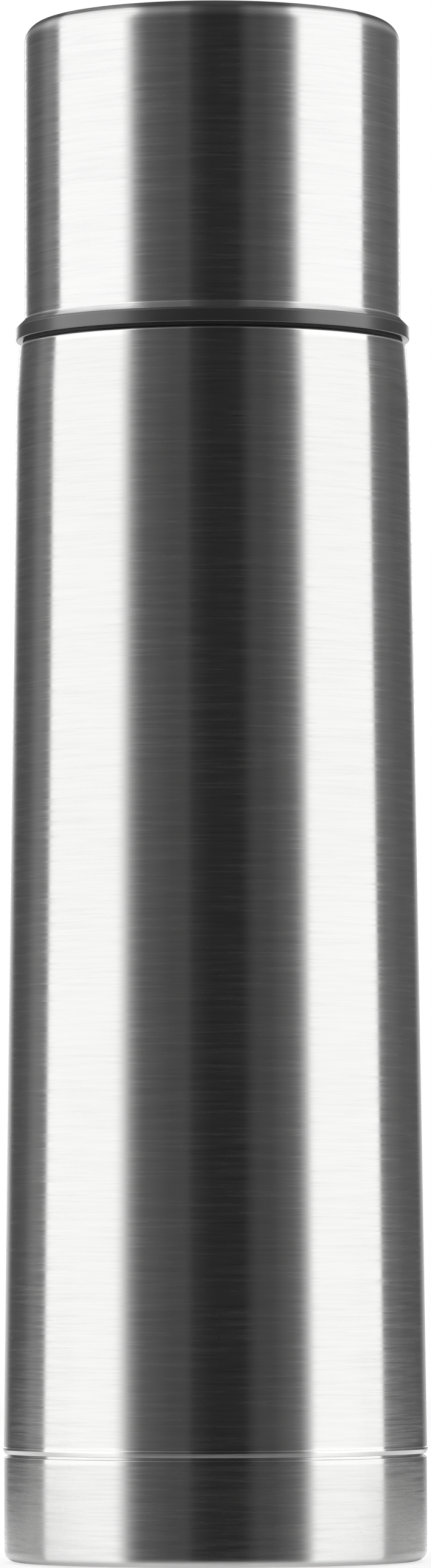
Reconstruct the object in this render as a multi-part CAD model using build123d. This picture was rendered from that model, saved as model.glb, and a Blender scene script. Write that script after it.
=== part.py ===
from build123d import *
import math
import os

# A tall steel vacuum flask with a screw-on drinking cup over a push-button stopper.
# Millimetres. +Z is up, and the origin is the centre of the foot on the surface it stands on.

# --- Whole object -----------------------------------------------------------------
HEIGHT = 245.0

# --- Outer wall of the body ---------------------------------------------------------
SHELL_WALL = 0.5
SEAM_Z = 17.0
SEAM_GAP = 0.4
LIP_R = 33.68
LIP_H = 1.0
BODY_LOW_R = 33.55
BODY_HIGH_R = 31.38
BODY_HIGH_Z = 184.5
SHOULDER_R = 30.85
SHOULDER_Z = 193.5
SHOULDER_EDGE = 0.6
SKIRT_R = 33.0
SKIRT_Z = 8.0
NECK_R = 25.2
MOUTH_Z = 207.0

# --- Foot -----------------------------------------------------------------------------
FOOT_R = 33.5
FOOT_EDGE = 1.8
FOOT_RECESS_R = 27.0
FOOT_RECESS_H = 2.0

# --- Inner bottle and the vacuum space ----------------------------------------------------
VESSEL_WALL = 0.4
VESSEL_LOW_R = 30.6
VESSEL_LOW_Z = 22.0
VESSEL_HIGH_R = 28.55
VESSEL_HIGH_Z = 179.0
VESSEL_NECK_R = 22.4
VESSEL_NECK_Z = 185.5
RIM_FLANGE = 0.5
BASE_DOME_H = 3.0
FOIL = 0.15
FOIL_LOW_Z = 27.0
FOIL_HIGH_Z = 172.0
END_PLATE = 0.6
END_PLATE_Z = 11.0
DIMPLE_R = 4.0
DIMPLE_H = 2.0
EVACUATION_HOLE_R = 0.8
GETTER_R = 4.0
GETTER_H = 2.0
GETTER_X = 15.0

# --- Screw threads: three starts, and one lead for the cup and the stopper -------------------
THREAD_STARTS = 3
THREAD_LEAD = 12.0
RIDGE_H = 1.5
RIDGE_CLEARANCE = 0.1
RIDGE_ROOT = 0.1

# --- Neck collar with the cup's outer thread ---------------------------------------------------
COLLAR_R = 26.2
COLLAR_TOP = 206.2
COLLAR_CREST_R = 27.1
COLLAR_THREAD = (196.0, 203.0)

# --- Drinking cup ---------------------------------------------------------------------------------
CUP_R = 30.0
CUP_WALL = 0.5
CUP_EDGE = 3.2
FLARE_TOP_Z = 197.4
FLARE = 1.05
LINER_R = 28.5
LINER_WALL = 0.4
LINER_TOP = 243.4
LINER_EDGE = 4.5
RING_R = 31.4
RING_Z = 194.0
RING_SIDE_TOP = 196.0
RING_BORE_R = 27.4
RING_CREST_R = 26.5
RING_LEDGE_Z = 199.0
RING_TOP = 204.0
RING_THREAD = (194.8, 198.8)
SEAL_IN_R = 28.5
SEAL_OUT_R = 30.2
SEAL_TOP = 194.9

# --- Stopper ------------------------------------------------------------------------------------------
PLUG_R = 20.9
PLUG_WALL = 1.8
PLUG_Z = 184.0
SEAT_R = 16.0
SEAT_H = 1.5
STOPPER_CREST_R = 21.7
STOPPER_THREAD = (194.5, 200.0)
NECK_CREST_R = 21.2
NECK_THREAD = (196.0, 203.0)
GASKET_H = 1.2
GASKET_IN_R = 21.05
GASKET_OUT_R = 24.6
FLANGE_R = 25.4
FLANGE_TOP = 210.0
HEAD_R = 23.4
HEAD_WALL = 1.8
HEAD_TOP = 217.5
DECK_H = 1.5
SLEEVE_R = 13.3
SLEEVE_WALL = 1.2
WINDOWS = 6
WINDOW_WIDTH = 9.0
WINDOW_H = 2.8
RIB_COUNT = 4
RIB_W = 1.6
GRIP_R = 25.7
GRIP_Z = 213.6
GRIP_FLUTES = 36
GRIP_FLUTE_R = 0.7

# --- Insulating chamber inside the plug ---------------------------------------------------------------
CHAMBER_R = 15.2
CHAMBER_WALL = 1.2
CHAMBER_Z = 187.0
CHAMBER_TOP = 203.8
CHAMBER_LID = 1.6
GUIDE_BORE_R = 2.58
GUIDE_R = 4.2
FOAM_GAP = 0.05
O_RING_MAJOR = 3.25
O_RING_MINOR = 0.7

# --- Push button, spring and valve ------------------------------------------------------------------------
BUTTON_R = 13.2
BUTTON_TOP = 219.5
BUTTON_WALL = 1.6
BUTTON_SKIRT = 1.0
BUTTON_SKIRT_Z = 211.0
BUTTON_HUB_R = 3.6
BUTTON_HUB_Z = 211.5
BUTTON_DISH_R = 60.0
BUTTON_DISH = 0.5
STEM_R = 2.5
STEM_TOP = 216.0
STEM_TIP_R = 1.75
STEM_STEP_Z = 184.2
STEM_TIP_Z = 179.2
DISC_R = 17.4
DISC_Z = 181.0
DISC_H = 1.8
DISC_STEP_R = 15.2
DISC_STEP_H = 0.8
DISC_HUB_R = 5.0
VALVE_SEAL_R = 18.0
CLIP_R = 4.0
CLIP_H = 0.8
WASHER_R = 8.0
WASHER_H = 0.6
SPRING_R = 6.2
SPRING_WIRE = 0.9
SPRING_TURNS = 5
SPRING_GAP = 0.05

GASKET_TOP = MOUTH_Z + GASKET_H
LID_TOP = CHAMBER_TOP + CHAMBER_LID
RIDGE_ARC = 360 * RIDGE_H / THREAD_LEAD
MATING_TURN = 360 * (RIDGE_H + RIDGE_CLEARANCE) / THREAD_LEAD


# --- Shape helpers --------------------------------------------------------------------------------------------

def turned(*outline):
    """Solid turned about Z from a closed outline of (radius, height[, corner radius])."""
    face = make_face(Polyline(*[(p[0], p[1]) for p in outline], close=True))
    for r, z, *corner_radius in outline:
        if corner_radius:
            corner = face.vertices().sort_by_distance((r, z, 0))[0]
            face = fillet(corner, corner_radius[0])
    return revolve(Plane.XZ * face, Axis.Z)


def tube(inner, outer, bottom, top):
    """Plain ring about Z."""
    return turned((inner, bottom), (outer, bottom), (outer, top), (inner, top))


def sector(inner, outer, middle_angle, arc):
    """Flat part-ring, arc degrees wide."""
    reach = 2 * outer
    angles = [math.radians(middle_angle + side * arc / 2) for side in (-1, 1)]
    corners = [(reach * math.cos(a), reach * math.sin(a)) for a in angles]
    wedge = make_face(Polyline((0, 0), *corners, close=True))
    return (Circle(outer) - Circle(inner)) & wedge


def thread_ridges(inner, outer, span, turn=0.0):
    """Right-hand ridges of one thread, all starts, between two heights."""
    bottom, top = span
    twist = 360 * (top - bottom) / THREAD_LEAD
    ridges = []
    for start in range(THREAD_STARTS):
        middle = turn + 360 * bottom / THREAD_LEAD + 360 * start / THREAD_STARTS
        section = sector(inner, outer, middle, RIDGE_ARC).face()
        section = section.moved(Location((0, 0, bottom)))
        ridge = Solid.extrude_linear_with_rotation(
            section, center=(0, 0, bottom), normal=(0, 0, top - bottom), angle=twist
        )
        ridges.append(ridge)
    return ridges


def joined(solid, extras):
    """One solid with extra solids fused on."""
    for extra in extras:
        solid = solid + extra
    return solid


# --- Flask body --------------------------------------------------------------------------------------------------

def make_outer_shell():
    """Tapered wall with the seam lip, soft shoulder, neck and the skirt inside the foot."""
    wall = SHELL_WALL
    solid = turned(
        (0, SKIRT_Z),
        (SKIRT_R, SKIRT_Z),
        (SKIRT_R, SEAM_Z),
        (LIP_R, SEAM_Z, 0.2),
        (LIP_R, SEAM_Z + LIP_H, 0.12),
        (BODY_LOW_R, SEAM_Z + LIP_H + 0.1),
        (BODY_HIGH_R, BODY_HIGH_Z, 60.0),
        (SHOULDER_R, SHOULDER_Z, SHOULDER_EDGE),
        (NECK_R, SHOULDER_Z),
        (NECK_R, MOUTH_Z - RIM_FLANGE),
        (0, MOUTH_Z - RIM_FLANGE),
    )
    hollow = turned(
        (0, SKIRT_Z - 1),
        (SKIRT_R - wall, SKIRT_Z - 1),
        (SKIRT_R - wall, SEAM_Z + LIP_H),
        (BODY_LOW_R - wall, SEAM_Z + LIP_H + 0.6),
        (BODY_HIGH_R - wall, BODY_HIGH_Z, 60.0),
        (SHOULDER_R - wall, SHOULDER_Z - wall, 0.3),
        (NECK_R - wall, SHOULDER_Z - wall),
        (NECK_R - wall, MOUTH_Z + 1),
        (0, MOUTH_Z + 1),
    )
    return solid - hollow


def make_base_cup():
    """Drawn steel foot: rounded outer edge, standing ring and recessed underside."""
    wall = SHELL_WALL
    top = SEAM_Z - SEAM_GAP
    solid = turned(
        (0, FOOT_RECESS_H),
        (FOOT_RECESS_R, FOOT_RECESS_H, 1.0),
        (FOOT_RECESS_R + 1.0, 0, 0.8),
        (FOOT_R, 0, FOOT_EDGE),
        (FOOT_R, top, 0.2),
        (0, top),
    )
    hollow = turned(
        (0, FOOT_RECESS_H + wall),
        (FOOT_RECESS_R + 0.3, FOOT_RECESS_H + wall, 0.6),
        (FOOT_RECESS_R + 1.3, wall, 0.4),
        (FOOT_R - wall, wall, FOOT_EDGE - wall),
        (FOOT_R - wall, top + 1),
        (0, top + 1),
    )
    return solid - hollow


def vessel_radius(z):
    """Outer radius of the inner bottle's tapered wall."""
    share = (z - VESSEL_LOW_Z) / (VESSEL_HIGH_Z - VESSEL_LOW_Z)
    return VESSEL_LOW_R + share * (VESSEL_HIGH_R - VESSEL_LOW_R)


def make_inner_vessel():
    """Inner bottle with its shoulder, rolled rim and the stopper's thread in the neck."""
    wall = VESSEL_WALL
    solid = turned(
        (0, VESSEL_LOW_Z),
        (VESSEL_LOW_R, VESSEL_LOW_Z),
        (VESSEL_HIGH_R, VESSEL_HIGH_Z, 4.0),
        (VESSEL_NECK_R, VESSEL_NECK_Z, 3.0),
        (VESSEL_NECK_R, MOUTH_Z - RIM_FLANGE),
        (NECK_R, MOUTH_Z - RIM_FLANGE),
        (NECK_R, MOUTH_Z, 0.3),
        (0, MOUTH_Z),
    )
    hollow = turned(
        (0, VESSEL_LOW_Z - 1),
        (VESSEL_LOW_R - wall, VESSEL_LOW_Z - 1),
        (VESSEL_LOW_R - wall, VESSEL_LOW_Z),
        (VESSEL_HIGH_R - wall, VESSEL_HIGH_Z - 0.2, 3.6),
        (VESSEL_NECK_R - wall, VESSEL_NECK_Z - 0.2, 3.4),
        (VESSEL_NECK_R - wall, MOUTH_Z + 1),
        (0, MOUTH_Z + 1),
    )
    root = VESSEL_NECK_R - wall + RIDGE_ROOT
    return joined(solid - hollow, thread_ridges(NECK_CREST_R, root, NECK_THREAD))


def make_inner_vessel_base():
    """Domed disc with a short upright rim, welded inside the bottle's lower end."""
    wall = VESSEL_WALL
    rim_r = VESSEL_LOW_R - wall - 0.04
    rim_top = VESSEL_LOW_Z + 2.5
    low = VESSEL_LOW_Z
    solid = turned(
        (0, low + BASE_DOME_H),
        (rim_r * 0.55, low + BASE_DOME_H * 0.75, 40.0),
        (rim_r - 2.0, low, 1.2),
        (rim_r, low, 1.0),
        (rim_r, rim_top),
        (rim_r - wall, rim_top),
        (rim_r - wall, low + wall, 0.6),
        (rim_r - 1.9, low + wall, 0.8),
        (rim_r * 0.55, low + BASE_DOME_H * 0.75 + wall, 40.0),
        (0, low + BASE_DOME_H + wall),
    )
    return solid


def make_vacuum_end_plate():
    """Pan that closes the vacuum space, with a raised dimple round the evacuation hole."""
    plate_top = END_PLATE_Z + END_PLATE
    rim_r = SKIRT_R - SHELL_WALL
    dimple_top = plate_top + DIMPLE_H
    return turned(
        (EVACUATION_HOLE_R, dimple_top - END_PLATE),
        (DIMPLE_R, dimple_top - END_PLATE, 0.5),
        (DIMPLE_R + 1.0, END_PLATE_Z, 0.5),
        (rim_r - END_PLATE, END_PLATE_Z, 0.5),
        (rim_r - END_PLATE, SKIRT_Z),
        (rim_r, SKIRT_Z),
        (rim_r, plate_top, 1.0),
        (DIMPLE_R + 1.6, plate_top, 0.5),
        (DIMPLE_R + 0.6, dimple_top, 0.5),
        (EVACUATION_HOLE_R, dimple_top),
    )


def make_seal_bead():
    """Rounded bead under the dimple, with a stub that fills the evacuation hole."""
    ceiling = END_PLATE_Z + DIMPLE_H
    return turned(
        (0, ceiling - 1.8),
        (2.6, ceiling - 1.8, 1.6),
        (2.6, ceiling),
        (EVACUATION_HOLE_R, ceiling),
        (EVACUATION_HOLE_R, ceiling + END_PLATE + 0.3),
        (0, ceiling + END_PLATE + 0.3),
    )


def make_radiation_foil():
    """Thin metal sleeve round the inner bottle's tapered wall."""
    low_r = vessel_radius(FOIL_LOW_Z)
    high_r = vessel_radius(FOIL_HIGH_Z)
    return turned(
        (low_r, FOIL_LOW_Z),
        (low_r + FOIL, FOIL_LOW_Z),
        (high_r + FOIL, FOIL_HIGH_Z),
        (high_r, FOIL_HIGH_Z),
    )


def make_getter_pellet():
    """Gas-absorbing disc on the clip, in the vacuum space."""
    low = END_PLATE_Z + END_PLATE + 0.4
    pellet = Cylinder(GETTER_R, GETTER_H, align=(Align.CENTER, Align.CENTER, Align.MIN))
    pellet = chamfer(pellet.edges().filter_by(GeomType.CIRCLE), 0.3)
    return Pos(GETTER_X, 0, low) * pellet


def make_getter_clip():
    """Sheet strip on the end plate whose two bent arms hold the pellet."""
    low = END_PLATE_Z + END_PLATE
    sheet = 0.4
    width = 4.0
    arm_h = sheet + GETTER_H + sheet
    floor = (Align.CENTER, Align.CENTER, Align.MIN)
    clip = Pos(GETTER_X, 0, low) * Box(width, 2 * (GETTER_R + sheet), sheet, align=floor)
    for side in (-1, 1):
        arm_y = side * (GETTER_R + sheet / 2)
        lip_y = side * (GETTER_R - 0.6)
        clip += Pos(GETTER_X, arm_y, low) * Box(width, sheet, arm_h, align=floor)
        clip += Pos(GETTER_X, lip_y, low + arm_h - sheet) * Box(width, 2.0, sheet, align=floor)
    return clip


def make_neck_collar():
    """Plastic collar on the neck, with the outer thread for the cup."""
    collar = turned(
        (NECK_R, SHOULDER_Z),
        (COLLAR_R, SHOULDER_Z),
        (COLLAR_R, COLLAR_TOP, 0.5),
        (NECK_R, COLLAR_TOP),
    )
    return joined(collar, thread_ridges(COLLAR_R - RIDGE_ROOT, COLLAR_CREST_R, COLLAR_THREAD))


# --- Drinking cup ------------------------------------------------------------------------------------------------

def make_cup_shell():
    """Outer steel wall of the cup, closed at the top and flared over the thread ring."""
    wall = CUP_WALL
    end_r = CUP_R + FLARE
    end_z = FLARE_TOP_Z - FLARE
    slant = wall * math.sqrt(0.5)
    inner_end = (end_r - slant, end_z - slant)
    inner_bend_z = inner_end[1] + (inner_end[0] - (CUP_R - wall))
    return turned(
        inner_end,
        (end_r, end_z),
        (CUP_R, FLARE_TOP_Z, 0.5),
        (CUP_R, HEIGHT, CUP_EDGE),
        (0, HEIGHT),
        (0, HEIGHT - wall),
        (CUP_R - wall, HEIGHT - wall, CUP_EDGE - wall),
        (CUP_R - wall, inner_bend_z),
    )


def make_cup_liner():
    """Inner steel wall of the cup, standing on the thread ring's ledge."""
    wall = LINER_WALL
    return turned(
        (LINER_R - wall, RING_LEDGE_Z),
        (LINER_R, RING_LEDGE_Z),
        (LINER_R, LINER_TOP, LINER_EDGE),
        (0, LINER_TOP),
        (0, LINER_TOP - wall),
        (LINER_R - wall, LINER_TOP - wall, LINER_EDGE - wall),
    )


def make_cup_thread_ring():
    """Plastic rim of the cup: visible band, seal groove, wall spacer and inner thread."""
    slant = CUP_WALL * math.sqrt(0.5)
    flare_r = CUP_R + FLARE
    flare_z = FLARE_TOP_Z - FLARE
    seat_z = flare_z - slant + (flare_r - slant - (CUP_R - CUP_WALL))
    groove_top = SEAL_TOP + 0.1
    ring = turned(
        (RING_BORE_R, RING_Z),
        (SEAL_IN_R - 0.1, RING_Z),
        (SEAL_IN_R - 0.1, groove_top),
        (SEAL_OUT_R + 0.1, groove_top),
        (SEAL_OUT_R + 0.1, RING_Z),
        (RING_R, RING_Z, 0.25),
        (RING_R, RING_SIDE_TOP, 0.15),
        (flare_r, flare_z),
        (flare_r - slant, flare_z - slant),
        (CUP_R - CUP_WALL, seat_z),
        (CUP_R - CUP_WALL, RING_TOP),
        (LINER_R, RING_TOP),
        (LINER_R, RING_LEDGE_Z),
        (RING_BORE_R, RING_LEDGE_Z),
    )
    root = RING_BORE_R + RIDGE_ROOT
    return joined(ring, thread_ridges(RING_CREST_R, root, RING_THREAD, MATING_TURN))


def make_cup_seal_ring():
    """Silicone ring in the groove under the thread ring, resting on the shoulder."""
    return turned(
        (SEAL_IN_R, SHOULDER_Z, 0.2),
        (SEAL_OUT_R, SHOULDER_Z, 0.2),
        (SEAL_OUT_R, SEAL_TOP, 0.3),
        (SEAL_IN_R, SEAL_TOP, 0.3),
    )


# --- Stopper -------------------------------------------------------------------------------------------------------

def make_stopper_gasket():
    """Silicone ring between the stopper's flange and the mouth."""
    return turned(
        (GASKET_IN_R, MOUTH_Z, 0.15),
        (GASKET_OUT_R, MOUTH_Z, 0.4),
        (GASKET_OUT_R, GASKET_TOP, 0.4),
        (GASKET_IN_R, GASKET_TOP, 0.15),
    )


def plug_and_head():
    """Plug wall, valve seat, flange, head, deck and the button's sleeve in one turned form."""
    plug_in = PLUG_R - PLUG_WALL
    head_in = HEAD_R - HEAD_WALL
    sleeve_out = SLEEVE_R + SLEEVE_WALL
    deck_low = HEAD_TOP - DECK_H
    wall = turned(
        (SEAT_R, PLUG_Z),
        (PLUG_R, PLUG_Z, 0.8),
        (PLUG_R, GASKET_TOP),
        (FLANGE_R, GASKET_TOP, 0.4),
        (FLANGE_R, FLANGE_TOP, 0.5),
        (HEAD_R, FLANGE_TOP),
        (HEAD_R, HEAD_TOP, 0.6),
        (SLEEVE_R, HEAD_TOP, 0.3),
        (SLEEVE_R, LID_TOP),
        (sleeve_out, LID_TOP),
        (sleeve_out, deck_low, 0.6),
        (head_in, deck_low, 0.6),
        (head_in, FLANGE_TOP),
        (plug_in, GASKET_TOP - 1.0),
        (plug_in, PLUG_Z + SEAT_H),
        (SEAT_R, PLUG_Z + SEAT_H),
    )
    return wall


def make_stopper_body():
    """Plastic plug with its outer thread, pouring windows and the ribs that hold the chamber."""
    body = plug_and_head()
    floor = (Align.MIN, Align.CENTER, Align.MIN)
    window_z = FLANGE_TOP + 0.3
    for i in range(WINDOWS):
        cutter = Pos(HEAD_R - 3, 0, window_z) * Box(6, WINDOW_WIDTH, WINDOW_H, align=floor)
        body -= Rot(0, 0, 360 * (i + 0.5) / WINDOWS) * cutter
    rib_in = CHAMBER_R
    rib_out = PLUG_R - PLUG_WALL / 2
    rib_h = CHAMBER_TOP - CHAMBER_Z - 2.0
    ribs = []
    for i in range(RIB_COUNT):
        rib = Box(rib_out - rib_in + 1, RIB_W, rib_h, align=floor)
        rib = Pos(rib_in - 1, 0, CHAMBER_Z + 1.0) * rib
        ribs.append(Rot(0, 0, 360 * i / RIB_COUNT) * rib)
    body = joined(body, ribs)
    body -= Pos(0, 0, CHAMBER_Z) * Cylinder(
        CHAMBER_R, CHAMBER_TOP - CHAMBER_Z, align=(Align.CENTER, Align.CENTER, Align.MIN)
    )
    root = PLUG_R - RIDGE_ROOT
    return joined(body, thread_ridges(root, STOPPER_CREST_R, STOPPER_THREAD, MATING_TURN))


def make_stopper_grip_ring():
    """Soft ring round the stopper's head, fluted for the fingers."""
    ring = turned(
        (HEAD_R, GRIP_Z),
        (GRIP_R, GRIP_Z, 0.5),
        (GRIP_R, HEAD_TOP - 0.3, 0.8),
        (HEAD_R, HEAD_TOP - 0.3),
    )
    flute = Cylinder(GRIP_FLUTE_R, HEAD_TOP, align=(Align.CENTER, Align.CENTER, Align.MIN))
    flutes = [
        Rot(0, 0, 360 * i / GRIP_FLUTES) * Pos(GRIP_R + 0.25, 0, GRIP_Z - 1) * flute
        for i in range(GRIP_FLUTES)
    ]
    return ring - flutes


def make_insulator_cup():
    """Closed-bottom chamber with the stem's guide tube up its middle."""
    wall = CHAMBER_WALL
    pocket_r = O_RING_MAJOR + O_RING_MINOR + 0.05
    pocket_z = CHAMBER_TOP - 2 * O_RING_MINOR - 0.1
    tube_r = pocket_r + 1.0
    return turned(
        (GUIDE_BORE_R, CHAMBER_Z),
        (CHAMBER_R, CHAMBER_Z, 1.5),
        (CHAMBER_R, CHAMBER_TOP),
        (CHAMBER_R - wall, CHAMBER_TOP),
        (CHAMBER_R - wall, CHAMBER_Z + wall, 0.5),
        (tube_r, CHAMBER_Z + wall),
        (tube_r, CHAMBER_TOP),
        (pocket_r, CHAMBER_TOP),
        (pocket_r, pocket_z),
        (GUIDE_BORE_R, pocket_z),
    )


def make_foam_core():
    """Foam ring that fills the chamber."""
    inner = O_RING_MAJOR + O_RING_MINOR + 1.05 + FOAM_GAP
    outer = CHAMBER_R - CHAMBER_WALL - FOAM_GAP
    low = CHAMBER_Z + CHAMBER_WALL + FOAM_GAP
    return turned(
        (inner, low),
        (outer, low, 0.5),
        (outer, CHAMBER_TOP - FOAM_GAP),
        (inner, CHAMBER_TOP - FOAM_GAP),
    )


def make_insulator_lid():
    """Lid of the chamber, which closes the button's sleeve and carries the spring."""
    return tube(GUIDE_BORE_R, CHAMBER_R, CHAMBER_TOP, LID_TOP)


def make_stem_o_ring():
    """O-ring in the guide tube's pocket, round the stem."""
    middle = CHAMBER_TOP - O_RING_MINOR - 0.05
    return Pos(0, 0, middle) * Torus(O_RING_MAJOR, O_RING_MINOR)


def make_spring_washer():
    """Flat steel washer under the spring."""
    return tube(STEM_R + 0.4, WASHER_R, LID_TOP, LID_TOP + WASHER_H)


def make_valve_spring():
    """Round-wire compression spring between the washer and the button."""
    wire = SPRING_WIRE / 2
    low = LID_TOP + WASHER_H + SPRING_GAP + wire
    high = BUTTON_TOP - BUTTON_WALL - SPRING_GAP - wire
    path = Helix(pitch=(high - low) / SPRING_TURNS, height=high - low, radius=SPRING_R)
    section = Plane(origin=path @ 0, z_dir=path % 0) * Circle(wire)
    return Pos(0, 0, low) * sweep(section, path=path, is_frenet=True)


# --- Push button and valve -------------------------------------------------------------------------------------------

def make_push_button():
    """Round button with a skirt that slides in the sleeve and a hub on the stem."""
    button = turned(
        (0, BUTTON_TOP),
        (BUTTON_R, BUTTON_TOP, 0.8),
        (BUTTON_R, BUTTON_SKIRT_Z, 0.3),
        (BUTTON_R - BUTTON_SKIRT, BUTTON_SKIRT_Z, 0.3),
        (BUTTON_R - BUTTON_SKIRT, BUTTON_TOP - BUTTON_WALL, 0.8),
        (BUTTON_HUB_R, BUTTON_TOP - BUTTON_WALL),
        (BUTTON_HUB_R, BUTTON_HUB_Z),
        (STEM_R, BUTTON_HUB_Z),
        (STEM_R, STEM_TOP),
        (0, STEM_TOP),
    )
    dish_z = BUTTON_TOP - BUTTON_DISH + BUTTON_DISH_R
    return button - Pos(0, 0, dish_z) * Sphere(BUTTON_DISH_R)


def make_valve_stem():
    """Steel rod from the button's hub to the valve disc, with a thinner tip."""
    return turned(
        (0, STEM_TIP_Z),
        (STEM_TIP_R, STEM_TIP_Z, 0.3),
        (STEM_TIP_R, STEM_STEP_Z),
        (STEM_R, STEM_STEP_Z),
        (STEM_R, STEM_TOP, 0.3),
        (0, STEM_TOP),
    )


def make_valve_disc():
    """Disc under the plug that carries the seal, with a hub on the stem's tip."""
    disc_top = DISC_Z + DISC_H
    return turned(
        (STEM_TIP_R, DISC_Z),
        (DISC_R, DISC_Z, 0.8),
        (DISC_R, disc_top),
        (DISC_STEP_R, disc_top),
        (DISC_STEP_R, disc_top + DISC_STEP_H, 0.3),
        (DISC_HUB_R, disc_top + DISC_STEP_H),
        (DISC_HUB_R, STEM_STEP_Z),
        (STEM_TIP_R, STEM_STEP_Z),
    )


def make_valve_seal():
    """Silicone ring on the disc, shut against the plug's seat."""
    return turned(
        (DISC_STEP_R + 0.1, DISC_Z + DISC_H),
        (DISC_R, DISC_Z + DISC_H),
        (VALVE_SEAL_R, DISC_Z + DISC_H + 0.6),
        (VALVE_SEAL_R, PLUG_Z),
        (DISC_STEP_R + 0.1, PLUG_Z),
    )


def make_stem_clip():
    """Push-on steel clip with four teeth under the valve disc."""
    clip = tube(STEM_TIP_R, CLIP_R, DISC_Z - CLIP_H, DISC_Z)
    for i in range(4):
        slot = Pos(STEM_TIP_R + 0.4, 0, DISC_Z - CLIP_H / 2) * Box(1.4, 0.6, 2 * CLIP_H)
        clip -= Rot(0, 0, 45 + 90 * i) * slot
    return clip


PARTS = {
    "outer_shell": make_outer_shell,
    "base_cup": make_base_cup,
    "inner_vessel": make_inner_vessel,
    "inner_vessel_base": make_inner_vessel_base,
    "vacuum_end_plate": make_vacuum_end_plate,
    "radiation_foil": make_radiation_foil,
    "getter_pellet": make_getter_pellet,
    "getter_clip": make_getter_clip,
    "seal_bead": make_seal_bead,
    "neck_collar": make_neck_collar,
    "stopper_gasket": make_stopper_gasket,
    "stopper_body": make_stopper_body,
    "stopper_grip_ring": make_stopper_grip_ring,
    "insulator_cup": make_insulator_cup,
    "foam_core": make_foam_core,
    "insulator_lid": make_insulator_lid,
    "stem_o_ring": make_stem_o_ring,
    "spring_washer": make_spring_washer,
    "valve_spring": make_valve_spring,
    "push_button": make_push_button,
    "valve_stem": make_valve_stem,
    "valve_disc": make_valve_disc,
    "valve_seal": make_valve_seal,
    "stem_clip": make_stem_clip,
    "cup_shell": make_cup_shell,
    "cup_liner": make_cup_liner,
    "cup_thread_ring": make_cup_thread_ring,
    "cup_seal_ring": make_cup_seal_ring,
}

os.makedirs("parts", exist_ok=True)
for node, make in PARTS.items():
    export_step(make(), f"parts/{node}.step")
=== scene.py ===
import math

import bmesh
import bpy
from mathutils import Euler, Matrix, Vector


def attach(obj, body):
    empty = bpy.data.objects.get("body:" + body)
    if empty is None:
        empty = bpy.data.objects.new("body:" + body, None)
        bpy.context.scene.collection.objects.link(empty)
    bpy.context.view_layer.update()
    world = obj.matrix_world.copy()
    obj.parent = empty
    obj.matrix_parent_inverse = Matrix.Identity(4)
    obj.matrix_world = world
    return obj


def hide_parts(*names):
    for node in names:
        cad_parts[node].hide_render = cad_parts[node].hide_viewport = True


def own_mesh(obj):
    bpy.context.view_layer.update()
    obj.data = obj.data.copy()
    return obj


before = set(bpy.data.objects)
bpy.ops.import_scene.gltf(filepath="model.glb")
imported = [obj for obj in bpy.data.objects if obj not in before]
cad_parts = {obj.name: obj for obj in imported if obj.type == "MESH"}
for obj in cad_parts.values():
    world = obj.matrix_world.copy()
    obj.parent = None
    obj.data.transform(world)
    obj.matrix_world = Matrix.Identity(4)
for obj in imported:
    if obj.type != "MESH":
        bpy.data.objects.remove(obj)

# The flask stands at the origin, +Z up. Outlines are (radius, height) in millimetres, as in the CAD model.
MM = 0.001
SEGMENTS = 288
SHARP_EDGE = math.radians(32)
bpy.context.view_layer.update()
scene = bpy.context.scene


# --- Camera ---------------------------------------------------------------------------------------

# Fitted to the curves of the rim, the ring, the seam and the foot in the photo. Angles are in radians.
CAMERA_PLACE = (0.0, -1.3745, 0.0501)
CAMERA_LENS = 198.4
CAMERA_PITCH = 0.0532
CAMERA_YAW = -0.0002
CAMERA_ROLL = -0.0026


def add_camera():
    """Long lens, about 1.37 m in front of the flask and 50 mm up, tilted up 3 degrees."""
    data = bpy.data.cameras.new("camera")
    data.lens = CAMERA_LENS
    data.sensor_width = 36.0
    data.clip_start = 0.05
    data.clip_end = 50.0
    data.dof.use_dof = False
    camera = bpy.data.objects.new("camera", data)
    camera.location = CAMERA_PLACE
    camera.rotation_mode = "XYZ"
    roll = Euler((0, 0, CAMERA_ROLL)).to_matrix()
    aim = Euler((math.pi / 2 + CAMERA_PITCH, 0, CAMERA_YAW)).to_matrix()
    camera.rotation_euler = (aim @ roll).to_euler()
    scene.collection.objects.link(camera)
    scene.camera = camera


# --- Node helpers ---------------------------------------------------------------------------------

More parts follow.
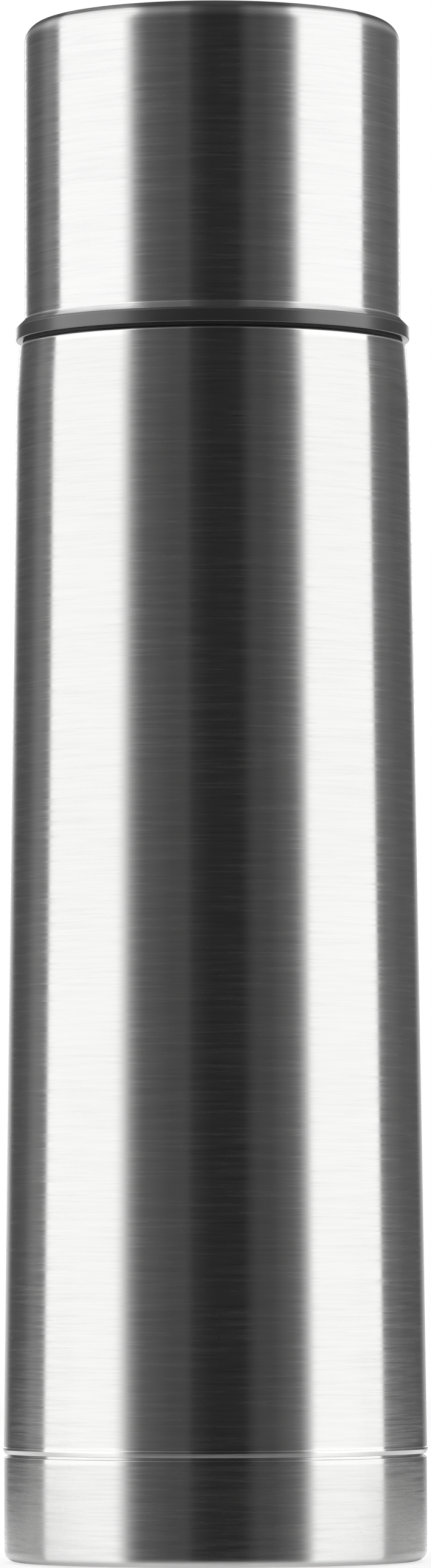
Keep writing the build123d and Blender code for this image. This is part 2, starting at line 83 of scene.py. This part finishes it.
class Nodes:
    """Short calls for one node tree."""

    def __init__(self, tree):
        self.tree = tree
        tree.nodes.clear()

    def add(self, kind, **settings):
        node = self.tree.nodes.new(kind)
        for key, value in settings.items():
            setattr(node, key, value)
        return node

    def link(self, output, socket):
        self.tree.links.new(output, socket)

    def put(self, node, socket, value):
        if isinstance(value, bpy.types.NodeSocket):
            self.link(value, node.inputs[socket])
        else:
            node.inputs[socket].default_value = value

    def object_place(self):
        return self.add("ShaderNodeTexCoord").outputs["Object"]

    def split(self, vector):
        """The x, y and z of a vector."""
        node = self.add("ShaderNodeSeparateXYZ")
        self.link(vector, node.inputs[0])
        return node.outputs[0], node.outputs[1], node.outputs[2]

    def math(self, operation, a, b=0.0):
        node = self.add("ShaderNodeMath", operation=operation)
        self.put(node, 0, a)
        self.put(node, 1, b)
        return node.outputs[0]

    def length_2d(self, a, b):
        squares = self.math("ADD", self.math("MULTIPLY", a, a), self.math("MULTIPLY", b, b))
        return self.math("SQRT", squares)

    def remap(self, value, low, high, to_low, to_high, smooth=False):
        node = self.add("ShaderNodeMapRange", clamp=True)
        if smooth:
            node.interpolation_type = "SMOOTHSTEP"
        self.put(node, "Value", value)
        self.put(node, "From Min", low)
        self.put(node, "From Max", high)
        self.put(node, "To Min", to_low)
        self.put(node, "To Max", to_high)
        return node.outputs["Result"]

    def noise(self, vector, stretch, detail=3.0, roughness=0.55, shift=0.0):
        """Noise whose grain along each axis is 1 / stretch metres."""
        mapping = self.add("ShaderNodeMapping")
        self.link(vector, mapping.inputs["Vector"])
        mapping.inputs["Location"].default_value = (shift, shift * 1.7, shift * 2.3)
        mapping.inputs["Scale"].default_value = stretch
        node = self.add("ShaderNodeTexNoise")
        self.link(mapping.outputs["Vector"], node.inputs["Vector"])
        node.inputs["Scale"].default_value = 1.0
        node.inputs["Detail"].default_value = detail
        node.inputs["Roughness"].default_value = roughness
        return node.outputs["Fac"]

    def scaled_color(self, color, factor):
        """The colour times a grey factor."""
        node = self.add("ShaderNodeVectorMath", operation="SCALE")
        node.inputs[0].default_value = color[:3]
        self.put(node, "Scale", factor)
        return node.outputs["Vector"]

    def bump(self, height, distance, strength=0.5):
        node = self.add("ShaderNodeBump")
        node.inputs["Strength"].default_value = strength
        node.inputs["Distance"].default_value = distance
        self.link(height, node.inputs["Height"])
        return node.outputs["Normal"]


def new_material(name):
    material = bpy.data.materials.new(name)
    material.use_nodes = True
    nodes = Nodes(material.node_tree)
    shader = nodes.add("ShaderNodeBsdfPrincipled")
    out = nodes.add("ShaderNodeOutputMaterial")
    nodes.link(shader.outputs[0], out.inputs["Surface"])
    return material, nodes, shader


# --- Materials ------------------------------------------------------------------------------------

def brushed_steel(name, color=(0.62, 0.62, 0.618), rough=0.20, streak=1.0, shift=0.0, polish_and_highlight=()):
    """Steel brushed round the Z axis: long fine scratches, uneven in depth, smoother on worn rims, where the
    colour is also lighter as a painted highlight.

    The last argument lists (height, half width) in metres of rims that handling has rubbed smoother and that
    get the painted highlight.
    """
    material, nodes, shader = new_material(name)
    x, y, z = nodes.split(nodes.object_place())
    # Height less radius: the scratches are level lines on a wall and circles on a flat top.
    brushed = nodes.add("ShaderNodeCombineXYZ")
    for socket, value in enumerate((x, y, nodes.math("SUBTRACT", z, nodes.length_2d(x, y)))):
        nodes.link(value, brushed.inputs[socket])
    where = brushed.outputs[0]
    fine = nodes.noise(where, (110, 110, 3600), detail=3, roughness=0.6, shift=shift)
    medium = nodes.noise(where, (60, 60, 1700), detail=3, shift=shift + 3)
    broad = nodes.noise(where, (9, 9, 60), detail=2, shift=shift + 7)
    smudge = nodes.noise(where, (38, 38, 30), detail=4, roughness=0.65, shift=shift + 11)
    tilt = nodes.noise(where, (110, 110, 2800), detail=2, shift=shift + 15)
    scratches = nodes.math("ADD", nodes.math("MULTIPLY", fine, 0.5), nodes.math("MULTIPLY", medium, 0.5))
    tone = nodes.remap(scratches, 0.35, 0.65, 1.0 - 0.004 * streak, 1.0 + 0.004 * streak)
    tone = nodes.math("MULTIPLY", tone, nodes.remap(broad, 0.3, 0.7, 0.994, 1.005))
    roughness = nodes.remap(scratches, 0.36, 0.64, rough + 0.09 * streak, rough - 0.05 * streak)
    roughness = nodes.math("ADD", roughness, nodes.remap(smudge, 0.45, 0.75, 0.0, 0.03))
    # Rubbed rims: less roughness (wear) and a lighter colour, which is a painted highlight.
    for height, half in polish_and_highlight:
        off = nodes.math("ABSOLUTE", nodes.math("SUBTRACT", z, height))
        worn = nodes.remap(off, half * 0.5, half, 0.08, 0.0, smooth=True)
        roughness = nodes.math("SUBTRACT", roughness, worn)
        tone = nodes.math("ADD", tone, worn)
    nodes.link(nodes.scaled_color(color, tone), shader.inputs["Base Color"])
    nodes.link(roughness, shader.inputs["Roughness"])
    shader.inputs["Metallic"].default_value = 1.0
    shader.inputs["Anisotropic"].default_value = 1.0
    shader.inputs["Anisotropic Rotation"].default_value = 0.25
    tangent = nodes.add("ShaderNodeTangent", direction_type="RADIAL", axis="Z")
    nodes.link(tangent.outputs[0], shader.inputs["Tangent"])
    grooves = nodes.math("ADD", nodes.math("MULTIPLY", scratches, 0.1), tilt)
    nodes.link(nodes.bump(grooves, 0.00002 * streak), shader.inputs["Normal"])
    return material


def moulded_plastic(name, color, rough=0.42, grain=0.6, wear=0.0, specular=0.5, gloss=0.0):
    """Injection-moulded plastic: fine spark-eroded grain, faint flow marks and rubbed patches.

    gloss is the weight of a clear polished skin over it.
    """
    material, nodes, shader = new_material(name)
    where = nodes.object_place()
    fine = nodes.noise(where, (3800, 3800, 3800), detail=2)
    flow = nodes.noise(where, (70, 70, 160), detail=3, shift=4)
    rub = nodes.noise(where, (160, 160, 160), detail=5, roughness=0.7, shift=9)
    marks = nodes.remap(flow, 0.3, 0.7, 0.9, 1.1)
    tone = nodes.math("MULTIPLY", marks, nodes.remap(fine, 0.3, 0.7, 0.94, 1.06))
    tone = nodes.math("ADD", tone, nodes.remap(rub, 0.55, 0.8, 0.0, 0.15 + wear))
    nodes.link(nodes.scaled_color(color, tone), shader.inputs["Base Color"])
    worn = nodes.remap(rub, 0.4, 0.75, rough, rough - 0.08)
    roughness = nodes.math("ADD", worn, nodes.remap(fine, 0.3, 0.7, -0.03, 0.03))
    nodes.link(roughness, shader.inputs["Roughness"])
    shader.inputs["Specular IOR Level"].default_value = specular
    shader.inputs["Coat Weight"].default_value = gloss
    shader.inputs["Coat Roughness"].default_value = 0.2
    height = nodes.math("ADD", fine, nodes.math("MULTIPLY", flow, 0.5))
    nodes.link(nodes.bump(height, 0.00003 * grain), shader.inputs["Normal"])
    return material


def soft_rubber(name, color, rough=0.6, subsurface=0.0):
    """Silicone or soft rubber: cloudy body, dull skin and dust in the pores."""
    material, nodes, shader = new_material(name)
    where = nodes.object_place()
    cloud = nodes.noise(where, (220, 220, 220), detail=4, roughness=0.6)
    pore = nodes.noise(where, (5200, 5200, 5200), detail=2, shift=5)
    dust = nodes.remap(pore, 0.4, 0.8, 1.0, 1.12)
    tone = nodes.math("MULTIPLY", nodes.remap(cloud, 0.3, 0.7, 0.9, 1.08), dust)
    nodes.link(nodes.scaled_color(color, tone), shader.inputs["Base Color"])
    nodes.link(nodes.remap(cloud, 0.3, 0.7, rough - 0.08, rough + 0.08), shader.inputs["Roughness"])
    shader.inputs["Subsurface Weight"].default_value = subsurface
    shader.inputs["Subsurface Scale"].default_value = 0.001
    shader.inputs["Specular IOR Level"].default_value = 0.4
    nodes.link(nodes.bump(pore, 0.00002), shader.inputs["Normal"])
    return material


def bright_metal(name, color, rough=0.2, grain=(900, 900, 900), depth=0.00001, stain=0.1):
    """Plain wire, rod, foil or pressing: drawn or rolled grain, light staining."""
    material, nodes, shader = new_material(name)
    where = nodes.object_place()
    lines = nodes.noise(where, grain, detail=3)
    patch = nodes.noise(where, (120, 120, 120), detail=5, roughness=0.7, shift=6)
    stains = nodes.remap(patch, 0.4, 0.8, 1.0, 1.0 - stain)
    tone = nodes.math("MULTIPLY", nodes.remap(lines, 0.3, 0.7, 0.95, 1.05), stains)
    nodes.link(nodes.scaled_color(color, tone), shader.inputs["Base Color"])
    drawn = nodes.remap(lines, 0.3, 0.7, rough - 0.04, rough + 0.06)
    roughness = nodes.math("ADD", drawn, nodes.remap(patch, 0.5, 0.8, 0.0, 0.12))
    nodes.link(roughness, shader.inputs["Roughness"])
    shader.inputs["Metallic"].default_value = 1.0
    nodes.link(nodes.bump(lines, depth), shader.inputs["Normal"])
    return material


def cell_foam(name, color):
    """Closed-cell foam: small round cells with darker walls."""
    material, nodes, shader = new_material(name)
    where = nodes.object_place()
    cells = nodes.add("ShaderNodeTexVoronoi", feature="F1")
    cells.inputs["Scale"].default_value = 1300.0
    nodes.link(where, cells.inputs["Vector"])
    cloud = nodes.noise(where, (150, 150, 150), detail=3)
    walls = nodes.remap(cells.outputs["Distance"], 0.0, 0.7, 1.05, 0.8)
    tone = nodes.math("MULTIPLY", walls, nodes.remap(cloud, 0.3, 0.7, 0.94, 1.04))
    nodes.link(nodes.scaled_color(color, tone), shader.inputs["Base Color"])
    nodes.link(nodes.remap(cloud, 0.3, 0.7, 0.85, 0.95), shader.inputs["Roughness"])
    nodes.link(nodes.bump(cells.outputs["Distance"], 0.0002, 0.7), shader.inputs["Normal"])
    return material


# --- Mesh helpers ---------------------------------------------------------------------------------

def rounded(outline):
    """Closed outline of (radius, height[, corner radius]) with its corners turned into arcs."""
    points = []
    count = len(outline)
    for i, (r, z, *corner) in enumerate(outline):
        if not corner:
            points.append((r, z))
            continue
        here = Vector((r, z))
        back = (Vector(outline[i - 1][:2]) - here).normalized()
        ahead = (Vector(outline[(i + 1) % count][:2]) - here).normalized()
        half = back.angle(ahead) / 2
        reach = corner[0] / math.tan(half)
        centre = here + (back + ahead).normalized() * corner[0] / math.sin(half)
        start = here + back * reach - centre
        turn = start.angle_signed(here + ahead * reach - centre)
        steps = max(4, min(16, round(abs(turn) / math.radians(7))))
        for k in range(steps + 1):
            a = -turn * k / steps
            points.append((
                centre.x + start.x * math.cos(a) - start.y * math.sin(a),
                centre.y + start.x * math.sin(a) + start.y * math.cos(a),
            ))
    return points


def lathe(outline):
    """Bmesh of a closed outline turned about Z."""
    points = rounded(outline)
    mesh = bmesh.new()
    rings = []
    for r, z in points:
        if r < 1e-6:
            rings.append([mesh.verts.new((0, 0, z * MM))])
            continue
        ring = []
        for k in range(SEGMENTS):
            a = 2 * math.pi * k / SEGMENTS
            ring.append(mesh.verts.new((r * MM * math.cos(a), r * MM * math.sin(a), z * MM)))
        rings.append(ring)
    for i, low in enumerate(rings):
        high = rings[(i + 1) % len(rings)]
        if len(low) == 1 and len(high) == 1:
            continue
        for k in range(SEGMENTS):
            n = (k + 1) % SEGMENTS
            corners = [low[k % len(low)], low[n % len(low)], high[n % len(high)], high[k % len(high)]]
            mesh.faces.new(list(dict.fromkeys(corners)))
    return mesh


def finish_mesh(name, mesh, material, body, node):
    """Turns a bmesh into a shaded piece that rides on a body and stands for a CAD node."""
    bmesh.ops.recalc_face_normals(mesh, faces=mesh.faces)
    for face in mesh.faces:
        face.smooth = True
    for edge in mesh.edges:
        if len(edge.link_faces) == 2 and edge.calc_face_angle() > SHARP_EDGE:
            edge.smooth = False
    data = bpy.data.meshes.new(name)
    mesh.to_mesh(data)
    mesh.free()
    data.materials.append(material)
    piece = bpy.data.objects.new(name, data)
    scene.collection.objects.link(piece)
    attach(piece, body)
    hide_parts(node)
    return piece


def skin(mesh, rows):
    """Side faces through rows of points that each close on themselves."""
    sides = len(rows[0])
    for near, far in zip(rows, rows[1:]):
        for i in range(sides):
            j = (i + 1) % sides
            mesh.faces.new([near[i], near[j], far[j], far[i]])


def add_ridges(mesh, root, crest, low, high, width, lead, starts, offset, side):
    """Right-hand screw ridges with flanks, tapering out at both ends. side is 1 outwards, -1 inwards."""
    length = high - low
    sweep = 2 * math.pi * length / lead
    steps = 72
    for s in range(starts):
        rows = []
        for k in range(steps + 1):
            t = k / steps
            fade = min(1.0, 7.0 * t, 7.0 * (1 - t))
            tip = root + side * (abs(crest - root) * (0.12 + 0.88 * math.sin(fade * math.pi / 2)))
            a = offset + 2 * math.pi * (low / lead + s / starts) + sweep * t
            z = low + length * t
            section = [(root, -width / 2), (tip, -width * 0.3), (tip, width * 0.3), (root, width / 2)]
            rows.append([
                mesh.verts.new((r * MM * math.cos(a), r * MM * math.sin(a), (z + dz) * MM))
                for r, dz in section
            ])
        skin(mesh, rows)
        mesh.faces.new(rows[0])
        mesh.faces.new(rows[-1][::-1])


# --- Light and stage ------------------------------------------------------------------------------

# What the flask mirrors, by the side its skin faces: (twice the degrees round from the front, brightness).
STUDIO_LEFT = [
    (0, 0.017), (3, 0.019), (8, 0.030), (12, 0.036), (15, 0.080), (24, 0.080), (32, 0.104), (40, 0.130),
    (44, 0.215), (48, 0.43), (52, 1.06), (56, 1.54), (105.8, 1.54), (108.0, 0.38), (111.4, 0.245),
    (120, 0.232), (130, 0.113), (140, 0.088), (150, 0.092), (155, 0.155), (160, 0.36), (163, 0.48),
    (168, 0.64), (180, 0.82),
]
STUDIO_RIGHT = [
    (0, 0.017), (15.5, 0.018), (19.5, 0.046), (23.5, 0.070), (32, 0.073), (36, 0.100), (44, 0.150),
    (48, 0.25), (52, 0.67), (56, 1.54), (103.3, 1.54), (105.5, 0.33), (112, 0.185), (120, 0.155),
    (128, 0.122), (148, 0.102), (154, 0.10), (160, 0.25), (164, 0.38), (168, 0.47), (180, 0.75),
]
TABLE_GLOW = 0.85


def add_ramp(nodes, share, stops):
    """Grey ramp over half a turn, from the camera's side to the far side."""
    ramp = nodes.add("ShaderNodeValToRGB")
    nodes.link(share, ramp.inputs["Fac"])
    elements = ramp.color_ramp.elements
    elements[0].position = 0.0
    elements[1].position = 1.0
    elements[0].color = (stops[0][1],) * 3 + (1,)
    elements[1].color = (stops[-1][1],) * 3 + (1,)
    for degrees, value in stops[1:-1]:
        stop = elements.new(degrees / 180)
        stop.color = (value,) * 3 + (1,)
    return ramp.outputs["Color"]


def add_world():
    """White for the camera, and a studio of tall soft boxes and dark cards for everything else.

    The cards are placed by the way a surface has to face to show them to the camera, round from the
    front and up from level. So a band keeps its place on a wall, on the flare and on a rolled edge.
    """
    world = bpy.data.worlds.new("studio")
    scene.world = world
    world.use_nodes = True
    nodes = Nodes(world.node_tree)
    out = nodes.add("ShaderNodeOutputWorld")
    x, y, z = nodes.split(nodes.add("ShaderNodeTexCoord").outputs["Generated"])
    depth = nodes.math("SUBTRACT", 1.0, y)
    reach = nodes.length_2d(x, depth)
    facing = nodes.math("ARCTAN2", nodes.math("ABSOLUTE", x), depth)
    half_turn = nodes.math("DIVIDE", facing, math.pi / 2)
    tilt = nodes.math("MULTIPLY", nodes.math("ARCTAN2", z, reach), 180 / math.pi)
    around = nodes.add("ShaderNodeMix", data_type="RGBA")
    nodes.put(around, 0, nodes.math("GREATER_THAN", x, 0.0))
    for socket, half in ((6, STUDIO_LEFT), (7, STUDIO_RIGHT)):
        nodes.link(add_ramp(nodes, half_turn, half), around.inputs[socket])
    band = nodes.add("ShaderNodeRGBToBW")
    nodes.link(around.outputs[2], band.inputs[0])
    # Up from level, in degrees: a bright shelf for the rims at 30, then a dark ceiling, and a pale table below.
    shelf_in = nodes.remap(tilt, 14, 30, 1.0, 3.6, smooth=True)
    shelf_out = nodes.remap(tilt, 35, 46, 1.0, 0.36, smooth=True)
    shelf = nodes.math("MULTIPLY", shelf_in, shelf_out)
    lifted = nodes.math("ADD", band.outputs[0], 0.008)
    level = nodes.math("MINIMUM", nodes.math("MULTIPLY", lifted, shelf), 1.55)
    dark = nodes.math("ADD", nodes.math("MULTIPLY", band.outputs[0], 0.08), 0.08)
    top = nodes.remap(tilt, 43, 51, 0.0, 1.0, smooth=True)
    below = nodes.remap(tilt, -20, -44, 0.0, 1.0, smooth=True)
    light = nodes.add("ShaderNodeBackground")
    strength = level
    for weight, value in ((top, dark), (below, TABLE_GLOW)):
        blend = nodes.add("ShaderNodeMix", data_type="FLOAT")
        nodes.put(blend, 0, weight)
        nodes.put(blend, 2, strength)
        nodes.put(blend, 3, value)
        strength = blend.outputs[0]
    nodes.link(strength, light.inputs["Strength"])
    light.inputs["Color"].default_value = (1, 1, 1, 1)
    white = nodes.add("ShaderNodeBackground")
    white.inputs["Color"].default_value = (1, 1, 1, 1)
    mix = nodes.add("ShaderNodeMixShader")
    nodes.link(nodes.add("ShaderNodeLightPath").outputs["Is Camera Ray"], mix.inputs[0])
    nodes.link(light.outputs[0], mix.inputs[1])
    nodes.link(white.outputs[0], mix.inputs[2])
    nodes.link(mix.outputs[0], out.inputs["Surface"])


def add_top_light():
    """Large overhead soft light for the floor. The flask's shiny steel doesn't mirror it."""
    data = bpy.data.lights.new("overhead", "AREA")
    data.shape = "DISK"
    data.size = 1.6
    data.energy = 26.0
    lamp = bpy.data.objects.new("overhead", data)
    lamp.location = (0, 0, 1.7)
    lamp.visible_camera = False
    lamp.visible_glossy = False
    scene.collection.objects.link(lamp)


def add_floor():
    """Pale round table top, seen in reflections only close to the flask, fading to white far out."""
    mesh = bmesh.new()
    bmesh.ops.create_circle(mesh, cap_ends=True, radius=3.0, segments=128)
    data = bpy.data.meshes.new("floor")
    mesh.to_mesh(data)
    mesh.free()
    floor = bpy.data.objects.new("floor", data)
    floor.location = (0, 0, -0.0002)
    scene.collection.objects.link(floor)
    material, nodes, shader = new_material("floor")
    data.materials.append(material)
    where = nodes.object_place()
    length = nodes.add("ShaderNodeVectorMath", operation="LENGTH")
    nodes.link(where, length.inputs[0])
    radius = length.outputs["Value"]
    grain = nodes.noise(where, (400, 400, 400), detail=3)
    tone = nodes.remap(grain, 0.3, 0.7, 0.99, 1.01)
    nodes.link(nodes.scaled_color((0.86, 0.86, 0.86), tone), shader.inputs["Base Color"])
    shader.inputs["Roughness"].default_value = 0.9
    shader.inputs["Specular IOR Level"].default_value = 0.1
    glow = nodes.add("ShaderNodeEmission")
    glow.inputs["Color"].default_value = (1, 1, 1, 1)
    far = nodes.add("ShaderNodeMixShader")
    light_path = nodes.add("ShaderNodeLightPath")
    near = nodes.math("MULTIPLY", light_path.outputs["Is Camera Ray"], 0.75)
    fade = nodes.remap(radius, 0.35, 1.6, 0.0, 1.0, smooth=True)
    nodes.link(nodes.math("MAXIMUM", near, fade), far.inputs[0])
    nodes.link(shader.outputs[0], far.inputs[1])
    nodes.link(glow.outputs[0], far.inputs[2])
    clear = nodes.add("ShaderNodeBsdfTransparent")
    glossy = light_path.outputs["Is Glossy Ray"]
    front = nodes.remap(nodes.split(where)[1], -0.04, 0.0, 1.0, 0.0, smooth=True)
    outer = nodes.remap(radius, 0.05, 0.22, 0.0, 1.0, smooth=True)
    gone = nodes.math("MULTIPLY", glossy, nodes.math("MAXIMUM", front, outer))
    mix = nodes.add("ShaderNodeMixShader")
    nodes.link(gone, mix.inputs[0])
    nodes.link(far.outputs[0], mix.inputs[1])
    nodes.link(clear.outputs[0], mix.inputs[2])
    out = next(n for n in nodes.tree.nodes if n.type == "OUTPUT_MATERIAL")
    nodes.link(mix.outputs[0], out.inputs["Surface"])


# --- Pieces ---------------------------------------------------------------------------------------

def build_body():
    # Rims with less roughness and a painted highlight: the lip and the top of the shoulder.
    polish_and_highlight = ((0.0175, 0.0012), (0.1932, 0.0012))
    steel = brushed_steel("body_steel", color=(0.605, 0.605, 0.602), shift=1.0, polish_and_highlight=polish_and_highlight)
    outline = [
        (33.0, 8.0), (33.0, 17.0), (33.34, 17.0, 0.12), (33.68, 17.7, 0.3), (33.66, 18.0, 0.1), (33.55, 18.1),
        (31.38, 184.5, 60.0), (30.85, 193.5, 0.7), (25.2, 193.5), (25.2, 206.5),
        (24.7, 206.5), (24.7, 193.0), (30.35, 193.0, 0.3), (30.88, 184.5, 60.0),
        (33.05, 18.6), (32.5, 18.0), (32.5, 8.0),
    ]
    finish_mesh("body_shell", lathe(outline), steel, "flask", "outer_shell")


def build_foot():
    # Rims with less roughness and a painted highlight: the top and the bottom edge of the foot.
    polish_and_highlight = ((0.0164, 0.0008), (0.0005, 0.0012))
    steel = brushed_steel("foot_steel", color=(0.59, 0.59, 0.587), rough=0.23, shift=21.0, polish_and_highlight=polish_and_highlight)
    outline = [
        (0, 2.0), (27.0, 2.0, 1.0), (28.0, 0, 0.8), (33.5, 0, 1.8), (33.5, 16.6, 0.2),
        (33.0, 16.6), (33.0, 0.5, 1.3), (28.3, 0.5, 0.4), (27.3, 2.5, 0.6), (0, 2.5),
    ]
    finish_mesh("foot_cup", lathe(outline), steel, "flask", "base_cup")


def build_cup():
    # Rims with less roughness and a painted highlight: the cup's top rim and its bottom edge.
    steel = brushed_steel("cup_steel", shift=41.0, polish_and_highlight=((0.2448, 0.0012), (0.1966, 0.0008)))
    shell = [
        (30.696, 195.996), (31.05, 196.35), (30.0, 197.4, 0.5), (30.0, 245.0, 3.2), (0, 245.0),
        (0, 244.5), (29.5, 244.5, 2.7), (29.5, 197.192),
    ]
    finish_mesh("cup_outer", lathe(shell), steel, "cup", "cup_shell")
    satin = brushed_steel("liner_satin", color=(0.66, 0.66, 0.65), rough=0.3, streak=0.5, shift=61.0)
    liner = [
        (28.1, 199.0), (28.5, 199.0), (28.5, 243.4, 4.5), (0, 243.4), (0, 243.0), (28.1, 243.0, 4.1),
    ]
    finish_mesh("cup_inner", lathe(liner), satin, "cup", "cup_liner")


def build_ring():
    black = (0.016, 0.016, 0.017)
    plastic = moulded_plastic("ring_plastic", black, rough=0.34, grain=0.8, specular=1.0, gloss=1.0)
    outline = [
        (27.4, 194.0), (28.4, 194.0), (28.4, 195.0), (30.3, 195.0), (30.3, 194.0), (31.4, 194.0, 0.25),
        (31.4, 196.0, 0.15), (31.05, 196.35), (30.696, 195.996), (29.5, 197.192), (29.5, 204.0),
        (28.5, 204.0), (28.5, 199.0), (27.4, 199.0),
    ]
    mesh = lathe(outline)
    add_ridges(
        mesh, root=27.5, crest=26.5, low=195.4, high=198.2, width=1.2, lead=12.0, starts=3,
        offset=math.radians(70.5), side=-1,
    )
    finish_mesh("cup_ring", mesh, plastic, "cup", "cup_thread_ring")


def build_spring():
    """The valve's coil spring, built as one fixed coil; on the real flask it shortens as the button goes down.
    """
    steel = bright_metal("coil_steel", (0.66, 0.66, 0.66), rough=0.18, grain=(2500, 2500, 200))
    wire, radius, low, high = 0.45, 6.2, 206.05, 217.85
    turns, closed, steps, sides = 6.0, 0.75, 288, 14
    mesh = bmesh.new()
    rows = []
    for k in range(steps + 1):
        t = k / steps
        a = 2 * math.pi * turns * t
        lead = min(1.0, max(0.0, (t * turns - closed) / (turns - 2 * closed)))
        z = low + wire + (high - low - 2 * wire) * (0.1 * t + 0.9 * lead * lead * (3 - 2 * lead))
        rows.append([
            mesh.verts.new((
                (radius + wire * math.cos(b)) * math.cos(a) * MM,
                (radius + wire * math.cos(b)) * math.sin(a) * MM,
                (z + wire * math.sin(b)) * MM,
            ))
            for b in (2 * math.pi * j / sides for j in range(sides))
        ])
    skin(mesh, rows)
    mesh.faces.new(rows[0][::-1])
    mesh.faces.new(rows[-1])
    coil = finish_mesh("valve_coil", mesh, steel, "stopper", "valve_spring")
    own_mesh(coil)


def paint_cad_nodes():
    """Materials for the CAD nodes that stay as they are."""
    vessel = brushed_steel("vessel_satin", color=(0.64, 0.64, 0.63), rough=0.3, streak=0.6, shift=81.0)
    pressed = bright_metal("pressed_steel", (0.52, 0.52, 0.52), rough=0.35, grain=(60, 900, 900))
    black = moulded_plastic("stopper_plastic", (0.05, 0.05, 0.052), rough=0.4)
    natural = moulded_plastic("chamber_plastic", (0.55, 0.55, 0.53), rough=0.5)
    silicone = soft_rubber("white_silicone", (0.70, 0.70, 0.68), subsurface=0.2)
    bright = bright_metal("spring_steel", (0.66, 0.66, 0.66), rough=0.18, grain=(2500, 2500, 200))
    foil = bright_metal("heat_foil", (0.80, 0.80, 0.81), rough=0.14, grain=(180, 180, 180), depth=0.0003)
    getter = bright_metal(
        "getter_metal", (0.17, 0.17, 0.18), rough=0.7, grain=(3000, 3000, 3000), depth=0.00005
    )
    paints = {
        "inner_vessel": vessel,
        "inner_vessel_base": vessel,
        "vacuum_end_plate": pressed,
        "getter_clip": pressed,
        "radiation_foil": foil,
        "getter_pellet": getter,
        "seal_bead": bright_metal("seal_metal", (0.55, 0.50, 0.38), rough=0.3, grain=(300, 300, 300)),
        "neck_collar": moulded_plastic("collar_plastic", (0.06, 0.06, 0.062), rough=0.42),
        "stopper_gasket": silicone,
        "stopper_body": black,
        "stopper_grip_ring": soft_rubber("grip_rubber", (0.075, 0.075, 0.078), rough=0.66),
        "insulator_cup": natural,
        "foam_core": cell_foam("chamber_foam", (0.80, 0.77, 0.66)),
        "insulator_lid": natural,
        "stem_o_ring": silicone,
        "spring_washer": bright,
        "push_button": moulded_plastic("button_plastic", (0.21, 0.21, 0.22), rough=0.4, wear=0.1),
        "valve_stem": bright,
        "valve_disc": black,
        "valve_seal": silicone,
        "stem_clip": bright,
        # The seal ring under the cup's ring is a real part coloured near black. It also stands in for the shade
        # in the gap between that ring and the shoulder, which is painted shade.
        "cup_seal_ring": soft_rubber("black_seal_and_gap_shade", (0.02, 0.02, 0.02), rough=0.55),
    }
    for node, material in paints.items():
        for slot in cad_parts[node].material_slots:
            slot.material = material


add_camera()
add_world()
add_top_light()
add_floor()
build_body()
build_foot()
build_cup()
build_ring()
build_spring()
paint_cad_nodes()
scene.view_settings.view_transform = "Standard"
scene.view_settings.look = "None"
